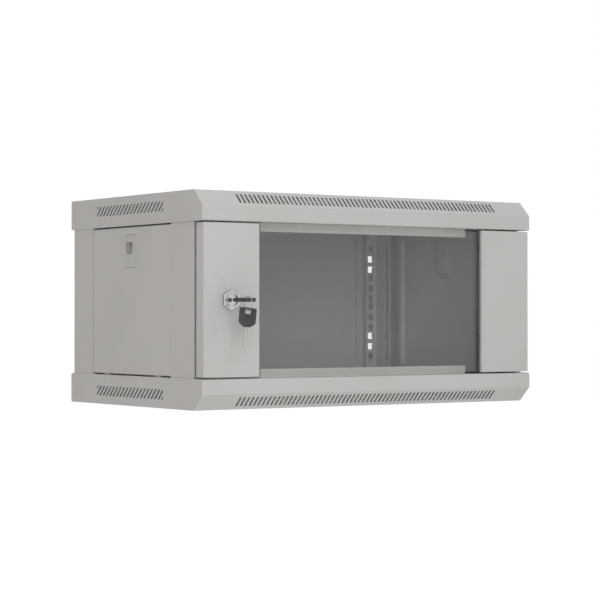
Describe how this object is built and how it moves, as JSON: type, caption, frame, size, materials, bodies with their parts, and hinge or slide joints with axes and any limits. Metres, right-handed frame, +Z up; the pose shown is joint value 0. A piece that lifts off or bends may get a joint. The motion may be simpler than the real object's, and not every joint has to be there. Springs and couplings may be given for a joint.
{
  "type": "wall mount network cabinet",
  "caption": "Shallow wall mount network cabinet: vented folded covers, glazed hinged front door with key lock, lift-off side panels with slide latches, and rack rails inside.",
  "frame": {"origin": "middle of the width and of the height of the cabinet's back, in the wall plane", "axes": "+X towards the hinge side of the door, along the width; +Y towards the wall; +Z up"},
  "size_m": [0.54, 0.4041, 0.28],
  "materials": {
    "grey_powder_coat": "light grey fine-textured powder coat",
    "grey_latch_plastic": "light grey moulded nylon",
    "zinc_plate": "bright zinc plate",
    "galvanised_steel": "galvanised sheet",
    "chrome": "polished chrome on die-cast zinc",
    "key_steel": "nickel-plated steel",
    "black_key_plastic": "black moulded plastic",
    "tinted_glass": "lightly grey tempered glass",
    "glazing_foam": "black foam glazing tape",
    "white_nylon": "natural white nylon",
    "spring_steel": "drawn spring wire"
  },
  "bodies": {
    "cabinet": {"back_panel": "grey_powder_coat", "bottom_cover": "grey_powder_coat", "front_left_rail": "grey_powder_coat", "front_right_rail": "grey_powder_coat", "left_keeper_strip": "grey_powder_coat", "left_side_frame": "grey_powder_coat", "lower_left_channel": "grey_powder_coat", "lower_right_channel": "grey_powder_coat", "rail_bolts": "zinc_plate", "rail_nuts": "zinc_plate", "rear_left_rail": "grey_powder_coat", "rear_right_rail": "grey_powder_coat", "right_keeper_strip": "grey_powder_coat", "right_side_frame": "grey_powder_coat", "top_cover": "grey_powder_coat", "upper_left_channel": "grey_powder_coat", "upper_right_channel": "grey_powder_coat"},
    "door": {"door_right_stile": "grey_powder_coat", "door_left_stile": "grey_powder_coat", "door_glass": "tinted_glass", "glass_gaskets": "glazing_foam", "right_glass_retainer": "galvanised_steel", "left_glass_retainer": "galvanised_steel", "upper_hinge_bracket": "zinc_plate", "hinge_pin_spring": "spring_steel", "lower_hinge_pin": "zinc_plate", "hinge_washer": "white_nylon", "lock_body": "chrome", "lock_clip": "zinc_plate"},
    "sprung_hinge_pin": {"upper_hinge_pin": "zinc_plate"},
    "lock_plug": {"lock_plug": "chrome", "lock_cam": "zinc_plate", "cam_screw": "zinc_plate", "inserted_key_bow": "black_key_plastic", "inserted_key_blade": "key_steel"},
    "key_ring": {"key_ring": "key_steel"},
    "hung_key": {"hung_key_bow": "black_key_plastic", "hung_key_blade": "key_steel"},
    "right_side_panel": {"right_side_panel": "grey_powder_coat", "right_latch_housing": "grey_latch_plastic", "right_latch_spring": "spring_steel"},
    "right_latch_slide": {"right_latch_slide": "grey_latch_plastic"},
    "left_side_panel": {"left_side_panel": "grey_powder_coat", "left_latch_housing": "grey_latch_plastic", "left_latch_spring": "spring_steel"},
    "left_latch_slide": {"left_latch_slide": "grey_latch_plastic"}
  },
  "joints": [
    {"name": "door_swing", "type": "hinge", "parent": "cabinet", "child": "door", "pos_m": [0.2555, -0.3395, 0], "axis": [0, 0, 1], "range_deg": [0, 180]},
    {"name": "hinge_pin_slide", "type": "slide", "parent": "door", "child": "sprung_hinge_pin", "axis": [0, 0, -1], "range_m": [0, 0.008], "stiffness_N_per_m": 400, "deforming": ["hinge_pin_spring"]},
    {"name": "lock_turn", "type": "hinge", "parent": "door", "child": "lock_plug", "pos_m": [-0.2275, -0.335, 0], "axis": [0, 1, 0], "range_deg": [0, 90]},
    {"name": "ring_swing", "type": "hinge", "parent": "lock_plug", "child": "key_ring", "pos_m": [-0.23, -0.39432, 0.00458], "axis": [0, 1, 0], "range_deg": [-10, 10]},
    {"name": "hung_key_swing", "type": "hinge", "parent": "key_ring", "child": "hung_key", "pos_m": [-0.23, -0.39432, -0.01372], "axis": [0, 1, 0], "range_deg": [-20, 20]},
    {"name": "right_panel_tilt", "type": "hinge", "parent": "cabinet", "child": "right_side_panel", "pos_m": [0.2688, -0.166, -0.098], "axis": [0, 1, 0], "range_deg": [0, 15]},
    {"name": "right_latch_slide", "type": "slide", "parent": "right_side_panel", "child": "right_latch_slide", "axis": [0, 0, 1], "range_m": [0, 0.006], "deforming": ["right_latch_spring"]},
    {"name": "left_panel_tilt", "type": "hinge", "parent": "cabinet", "child": "left_side_panel", "pos_m": [-0.2688, -0.166, -0.098], "axis": [0, -1, 0], "range_deg": [0, 15]},
    {"name": "left_latch_slide", "type": "slide", "parent": "left_side_panel", "child": "left_latch_slide", "axis": [0, 0, 1], "range_m": [0, 0.006], "deforming": ["left_latch_spring"]}
  ]
}
